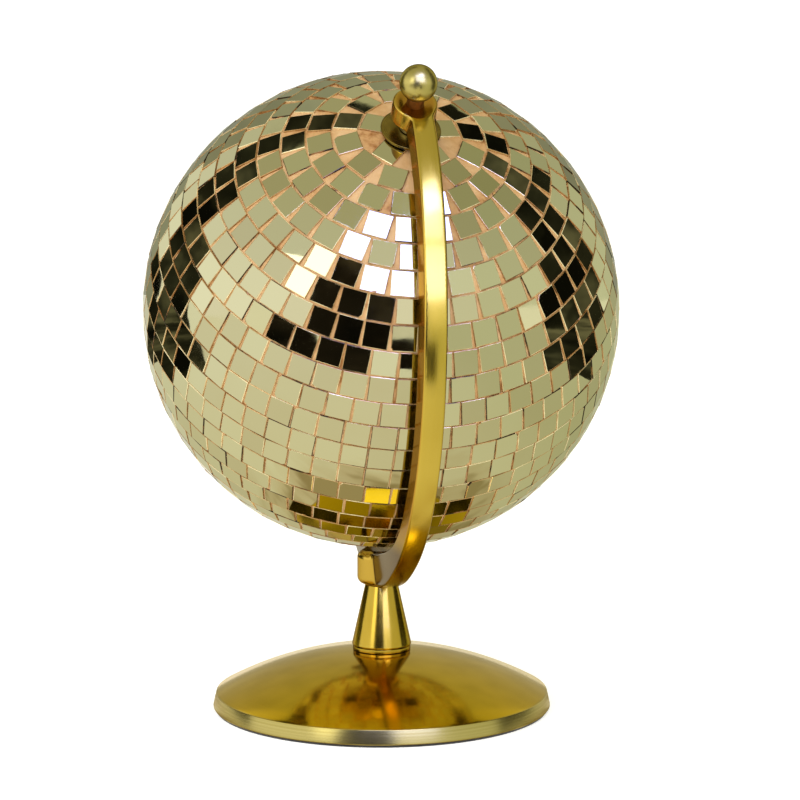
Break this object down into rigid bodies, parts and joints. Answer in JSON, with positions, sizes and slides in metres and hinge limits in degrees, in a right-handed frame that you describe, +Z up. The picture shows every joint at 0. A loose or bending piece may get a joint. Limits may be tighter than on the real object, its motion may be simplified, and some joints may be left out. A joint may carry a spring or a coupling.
{
  "type": "desktop mirror ball",
  "caption": "Gold mirror ball that spins on a tilted axle, held by a C-shaped arm on a conical stem and a round domed base.",
  "frame": {"origin": "centre of the base's underside, on the surface that the object stands on", "axes": "+Z up; the arm lies in the YZ plane and bulges towards -Y, the front; the axle's upper end leans 40 degrees from +Z towards -Y; +X to the right seen from the front"},
  "size_m": [0.2, 0.2146, 0.2728],
  "materials": {
    "mirror_tiles": "gold-tinted mirror glass, square tiles with cut edges",
    "satin_gold": "satin, fine circular brushing under clear lacquer",
    "dark_satin_gold": "dull satin, olive tone",
    "polished_gold": "polished",
    "ball_shell": "moulded shell under a coat of peach-tan tile adhesive",
    "nylon": "natural",
    "zinc_steel": "zinc plated",
    "iron": "as cast, thin black paint",
    "felt": "black felt"
  },
  "bodies": {
    "stand": {"arm": "satin_gold", "axle": "zinc_steel", "base_dome": "satin_gold", "base_nut": "zinc_steel", "base_pad": "felt", "base_washer": "zinc_steel", "base_weight": "iron", "cap_nut": "zinc_steel", "finial": "polished_gold", "lower_spacer": "zinc_steel", "stem": "polished_gold", "stem_seat_ring": "polished_gold", "tie_rod": "zinc_steel", "upper_spacer": "zinc_steel"},
    "ball": {"lower_bush": "nylon", "lower_pole_washer": "dark_satin_gold", "lower_shell": "ball_shell", "lower_tile_course_01": "mirror_tiles", "lower_tile_course_02": "mirror_tiles", "lower_tile_course_03": "mirror_tiles", "lower_tile_course_04": "mirror_tiles", "lower_tile_course_05": "mirror_tiles", "lower_tile_course_06": "mirror_tiles", "lower_tile_course_07": "mirror_tiles", "lower_tile_course_08": "mirror_tiles", "lower_tile_course_09": "mirror_tiles", "lower_tile_course_10": "mirror_tiles", "lower_tile_course_11": "mirror_tiles", "lower_tile_course_12": "mirror_tiles", "lower_tile_course_13": "mirror_tiles", "lower_tile_course_14": "mirror_tiles", "upper_bush": "nylon", "upper_pole_washer": "dark_satin_gold", "upper_shell": "ball_shell", "upper_tile_course_01": "mirror_tiles", "upper_tile_course_02": "mirror_tiles", "upper_tile_course_03": "mirror_tiles", "upper_tile_course_04": "mirror_tiles", "upper_tile_course_05": "mirror_tiles", "upper_tile_course_06": "mirror_tiles", "upper_tile_course_07": "mirror_tiles", "upper_tile_course_08": "mirror_tiles", "upper_tile_course_09": "mirror_tiles", "upper_tile_course_10": "mirror_tiles", "upper_tile_course_11": "mirror_tiles", "upper_tile_course_12": "mirror_tiles", "upper_tile_course_13": "mirror_tiles", "upper_tile_course_14": "mirror_tiles"}
  },
  "joints": [
    {"name": "ball_spin", "type": "hinge", "parent": "stand", "child": "ball", "pos_m": [0, 0, 0.1703], "axis": [0, -0.6428, 0.766], "continuous": true}
  ]
}
